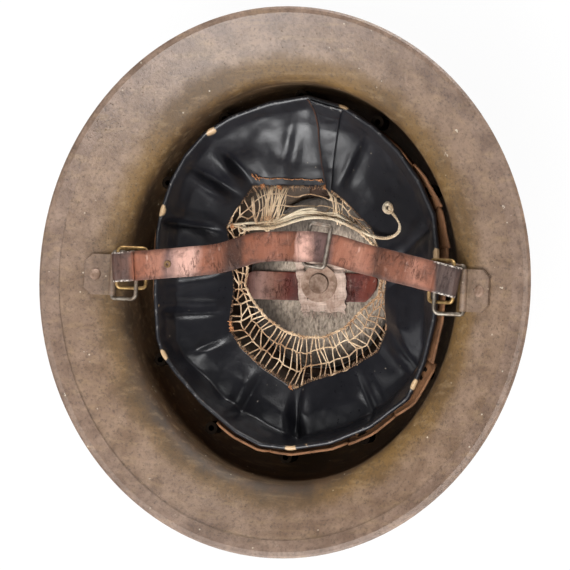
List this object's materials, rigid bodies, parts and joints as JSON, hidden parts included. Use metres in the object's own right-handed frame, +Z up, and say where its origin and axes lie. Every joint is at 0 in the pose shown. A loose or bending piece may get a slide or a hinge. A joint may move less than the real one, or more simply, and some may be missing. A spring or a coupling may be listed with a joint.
{
  "type": "steel trench helmet",
  "caption": "Wide-brimmed soup-bowl steel helmet lying on its crown, with a hung oilcloth and net lining and a leather chin strap on swinging wire loops.",
  "frame": {"origin": "middle of the crown rivet's outer head, the face the helmet rests on when it lies on its crown", "axes": "+Z up out of the head opening, so the helmet is worn with -Z upwards; +Y to the front of the head; +X to the right of the opening as it lies, where the short strap piece is"},
  "size_m": [0.294, 0.3176, 0.1155],
  "materials": {
    "shell_paint": "worn matt olive-brown paint",
    "binding_paint": "worn paint over a folded steel strip",
    "bracket_paint": "worn dark paint with bare edges",
    "rivet_steel": "dull steel with traces of paint",
    "wire_steel": "dull tarnished wire",
    "ring_brass": "tarnished",
    "eyelet_brass": "tarnished",
    "buckle_steel": "worn grey steel",
    "washer_steel": "dull steel",
    "strap_leather": "old, cracked, slightly glossy",
    "band_leather": "dry tan leather",
    "hanger_leather": "dry brown leather",
    "crown_leather": "dark and worn",
    "oilcloth": "glossy black coated cloth",
    "twine": "coarse tan twine",
    "felt": "grey-brown matted felt",
    "cloth": "frayed cream cloth",
    "cord": "twisted cream cord",
    "buffer_rubber": "perished dark rubber"
  },
  "bodies": {
    "helmet": {"shell": "shell_paint", "rim_binding": "binding_paint", "left_bracket": "bracket_paint", "left_bracket_rivet": "rivet_steel", "right_bracket": "bracket_paint", "right_bracket_rivet": "rivet_steel", "leather_band": "band_leather", "hanger_long": "hanger_leather", "hanger_cross": "hanger_leather", "felt_pad": "felt", "crown_strap": "crown_leather", "crown_cloth": "cloth", "crown_cloth_strip": "cloth", "crown_washer": "washer_steel", "crown_rivet": "rivet_steel", "oilcloth_lining": "oilcloth", "twine_net": "twine", "drawstring": "cord", "drawstring_knot": "cord", "rubber_buffer_01": "buffer_rubber", "rubber_buffer_02": "buffer_rubber", "rubber_buffer_03": "buffer_rubber", "rubber_buffer_04": "buffer_rubber", "rubber_buffer_05": "buffer_rubber", "rubber_buffer_06": "buffer_rubber", "rubber_buffer_07": "buffer_rubber", "rubber_buffer_08": "buffer_rubber", "rubber_buffer_09": "buffer_rubber", "rubber_buffer_10": "buffer_rubber", "rubber_buffer_11": "buffer_rubber", "rubber_buffer_12": "buffer_rubber"},
    "left_bail": {"left_bail": "wire_steel"},
    "left_ring": {"left_ring": "ring_brass"},
    "chin_strap": {"chin_strap_long": "strap_leather", "chin_strap_short": "strap_leather", "strap_eyelet": "eyelet_brass", "strap_buckle": "buckle_steel"},
    "right_bail": {"right_bail": "wire_steel"},
    "right_ring": {"right_ring": "ring_brass"}
  },
  "joints": [
    {"name": "left_bail_hinge", "type": "hinge", "parent": "helmet", "child": "left_bail", "pos_m": [-0.10629, 0, 0.0995], "axis": [0, -1, 0], "range_deg": [0, 40]},
    {"name": "left_ring_hinge", "type": "hinge", "parent": "left_bail", "child": "left_ring", "pos_m": [-0.09015, 0, 0.10293], "axis": [0, 1, 0], "range_deg": [0, 90]},
    {"name": "chin_strap_hinge", "type": "hinge", "parent": "left_ring", "child": "chin_strap", "pos_m": [-0.10134, 0, 0.10556], "axis": [0, -1, 0], "range_deg": [0, 50]},
    {"name": "right_bail_hinge", "type": "hinge", "parent": "helmet", "child": "right_bail", "pos_m": [0.10629, 0, 0.0995], "axis": [0, 1, 0], "range_deg": [0, 40]},
    {"name": "right_ring_hinge", "type": "hinge", "parent": "right_bail", "child": "right_ring", "pos_m": [0.09015, 0, 0.10293], "axis": [0, -1, 0], "range_deg": [0, 90]}
  ],
  "couplings": [
    {"joint": "left_ring_hinge", "follows": "left_bail_hinge", "ratio": 2.245},
    {"joint": "chin_strap_hinge", "follows": "left_bail_hinge", "ratio": 1.245},
    {"joint": "right_bail_hinge", "follows": "left_bail_hinge", "ratio": 1},
    {"joint": "right_ring_hinge", "follows": "left_bail_hinge", "ratio": 2.245}
  ]
}
